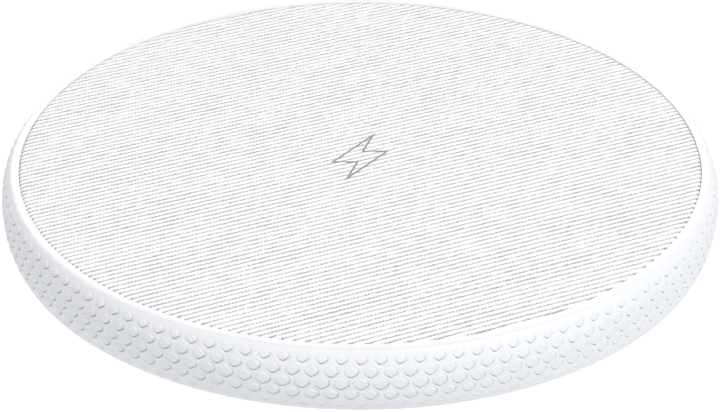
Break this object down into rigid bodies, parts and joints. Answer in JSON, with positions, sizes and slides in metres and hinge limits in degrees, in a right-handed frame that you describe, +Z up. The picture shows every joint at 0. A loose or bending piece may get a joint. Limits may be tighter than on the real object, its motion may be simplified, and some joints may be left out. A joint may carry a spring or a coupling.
{
  "type": "wireless charging pad",
  "caption": "Low round wireless charging pad with a ribbed fabric top, a smooth bezel, a soft bumpy grip rim and a USB-C inlet at the back.",
  "frame": {"origin": "centre of the pad's circle, on the surface that the foot ring rests on", "axes": "+Z up through the fabric face, +Y out of the USB-C port, +X to the right seen from the side opposite the port"},
  "size_m": [0.1, 0.0996, 0.0098],
  "materials": {
    "inlay_fabric": "ribbed weave",
    "adhesive_film": "film",
    "cover_plastic": "fine satin",
    "grip_rubber": "soft matte",
    "base_plastic": "fine spark texture",
    "foot_silicone": "matte",
    "screw_steel": "zinc plated",
    "port_steel": "drawn",
    "port_insulator": "moulded",
    "contact_gold": "gold plated",
    "lamp_clear": "clear",
    "led_body": "moulded",
    "copper_wire": "enamelled",
    "ferrite": "sintered",
    "foam": "fine cell foam",
    "glass_bead": "glazed",
    "board_laminate": "solder mask",
    "solder": "bright",
    "chip_resin": "moulded",
    "inductor_body": "pressed powder",
    "capacitor_body": "sintered",
    "resistor_body": "glazed"
  },
  "bodies": {
    "root": {"fabric_cover": "inlay_fabric", "fabric_adhesive": "adhesive_film", "foot_adhesive": "adhesive_film", "coil_film": "adhesive_film", "coil_tape": "adhesive_film", "top_cover": "cover_plastic", "rim_grip": "grip_rubber", "base_cover": "base_plastic", "foot_ring": "foot_silicone", "case_screws": "screw_steel", "board_screws": "screw_steel", "usb_c_shell": "port_steel", "usb_c_insulator": "port_insulator", "usb_c_contacts": "contact_gold", "light_pipe": "lamp_clear", "status_led": "led_body", "coil_winding": "copper_wire", "ferrite_shield": "ferrite", "foam_spacer": "foam", "temperature_sensor": "glass_bead", "circuit_board": "board_laminate", "solder_joints": "solder", "controller_chip": "chip_resin", "protocol_chip": "chip_resin", "driver_chip": "chip_resin", "bridge_mosfets": "chip_resin", "surge_diode": "chip_resin", "power_inductor": "inductor_body", "resonant_capacitors": "capacitor_body", "input_capacitors": "capacitor_body", "small_capacitors": "capacitor_body", "small_resistors": "resistor_body", "sense_resistor": "resistor_body"}
  },
  "joints": []
}
